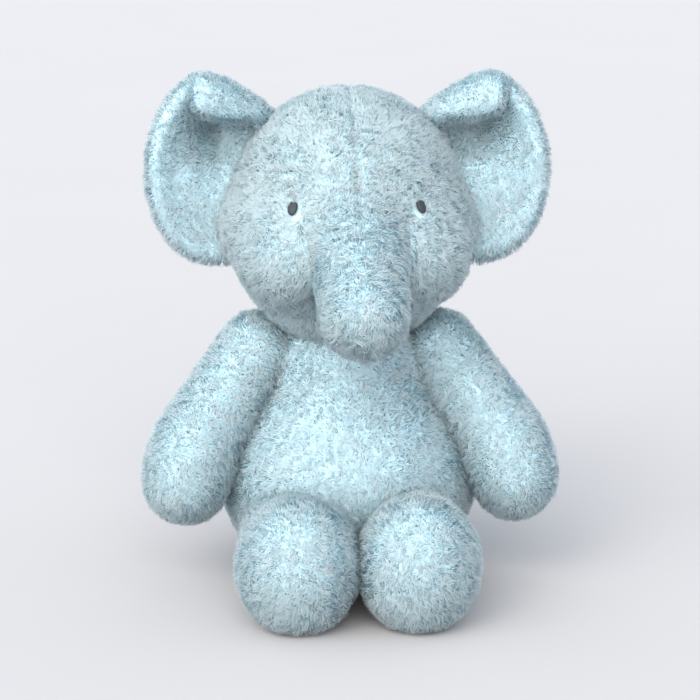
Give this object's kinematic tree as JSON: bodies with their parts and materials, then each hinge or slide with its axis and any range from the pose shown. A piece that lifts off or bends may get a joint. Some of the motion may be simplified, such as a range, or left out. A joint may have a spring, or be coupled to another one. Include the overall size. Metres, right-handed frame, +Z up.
{
  "type": "stuffed elephant",
  "caption": "Seated stuffed plush elephant with long soft pile, big cupped ears, a short drooping trunk and sewn oval eyes; soft sewn joints at neck, shoulders, hips, ears, trunk and tail.",
  "frame": {"origin": "on the floor, under the middle of the torso", "axes": "+Z up; the elephant looks along -Y; its own left is +X"},
  "size_m": [0.2422, 0.248, 0.297],
  "materials": {
    "plush": "long soft polyester pile, pale blue",
    "fibre_filling": "loose polyester fibre",
    "pellets": "small plastic pellets",
    "pouch_cloth": "thin white woven cloth",
    "sewing_thread": "twisted polyester thread",
    "eye_embroidery": "black satin stitch with a silky gloss"
  },
  "bodies": {
    "torso": {"torso_front_panel": "plush", "torso_back_panel_left": "plush", "torso_back_panel_right": "plush", "torso_seat_panel": "plush", "torso_stuffing": "fibre_filling", "pellet_pouch": "pouch_cloth", "pellet_filling": "pellets", "back_closing_stitches": "sewing_thread"},
    "neck": {"neck_seam_thread": "sewing_thread"},
    "head": {"face_panel_left": "plush", "face_panel_right": "plush", "head_back_panel_left": "plush", "head_back_panel_right": "plush", "head_stuffing": "fibre_filling", "left_eye": "eye_embroidery", "right_eye": "eye_embroidery"},
    "trunk": {"trunk_top_panel": "plush", "trunk_under_panel": "plush", "trunk_stuffing": "fibre_filling"},
    "left_ear": {"left_ear_front_panel": "plush", "left_ear_wadding": "fibre_filling", "left_ear_back_panel": "plush"},
    "right_ear": {"right_ear_front_panel": "plush", "right_ear_wadding": "fibre_filling", "right_ear_back_panel": "plush"},
    "left_arm": {"left_arm_front_panel": "plush", "left_arm_back_panel": "plush", "left_arm_stuffing": "fibre_filling", "left_shoulder_thread": "sewing_thread"},
    "right_arm": {"right_arm_front_panel": "plush", "right_arm_back_panel": "plush", "right_arm_stuffing": "fibre_filling", "right_shoulder_thread": "sewing_thread"},
    "left_leg": {"left_leg_inner_panel": "plush", "left_leg_outer_panel": "plush", "left_foot_sole": "plush", "left_leg_stuffing": "fibre_filling", "left_hip_thread": "sewing_thread"},
    "right_leg": {"right_leg_inner_panel": "plush", "right_leg_outer_panel": "plush", "right_foot_sole": "plush", "right_leg_stuffing": "fibre_filling", "right_hip_thread": "sewing_thread"},
    "tail": {"tail_cover": "plush", "tail_stuffing": "fibre_filling"}
  },
  "joints": [
    {"name": "neck_nod", "type": "hinge", "parent": "torso", "child": "neck", "pos_m": [0, 0, 0.152], "axis": [1, 0, 0], "range_deg": [-12, 12], "stiffness_Nm_per_rad": 1.2},
    {"name": "neck_turn", "type": "hinge", "parent": "neck", "child": "head", "pos_m": [0, 0, 0.152], "axis": [0, 0, 1], "range_deg": [-25, 25], "stiffness_Nm_per_rad": 0.6},
    {"name": "trunk_bend", "type": "hinge", "parent": "head", "child": "trunk", "pos_m": [0, -0.056, 0.196], "axis": [-1, 0, 0], "range_deg": [-5, 20], "stiffness_Nm_per_rad": 0.4},
    {"name": "left_ear_fold", "type": "hinge", "parent": "head", "child": "left_ear", "pos_m": [0.077, 0.015, 0.203], "axis": [0.1961, 0, -0.9806], "range_deg": [-10, 35], "stiffness_Nm_per_rad": 0.08},
    {"name": "right_ear_fold", "type": "hinge", "parent": "head", "child": "right_ear", "pos_m": [-0.077, 0.015, 0.203], "axis": [0.1961, 0, 0.9806], "range_deg": [-10, 35], "stiffness_Nm_per_rad": 0.08},
    {"name": "left_arm_swing", "type": "hinge", "parent": "torso", "child": "left_arm", "pos_m": [0.05, 0, 0.137], "axis": [-1, 0, 0], "range_deg": [-8, 80], "stiffness_Nm_per_rad": 0.25},
    {"name": "right_arm_swing", "type": "hinge", "parent": "torso", "child": "right_arm", "pos_m": [-0.05, 0, 0.137], "axis": [-1, 0, 0], "range_deg": [-8, 80], "stiffness_Nm_per_rad": 0.25},
    {"name": "left_leg_swing", "type": "hinge", "parent": "torso", "child": "left_leg", "pos_m": [0.033, -0.058, 0.03], "axis": [-1, 0, 0], "range_deg": [-25, 18], "stiffness_Nm_per_rad": 0.5},
    {"name": "right_leg_swing", "type": "hinge", "parent": "torso", "child": "right_leg", "pos_m": [-0.033, -0.058, 0.03], "axis": [-1, 0, 0], "range_deg": [-25, 18], "stiffness_Nm_per_rad": 0.5},
    {"name": "tail_lift", "type": "hinge", "parent": "torso", "child": "tail", "pos_m": [0, 0.072, 0.048], "axis": [1, 0, 0], "range_deg": [-5, 60], "stiffness_Nm_per_rad": 0.02}
  ]
}
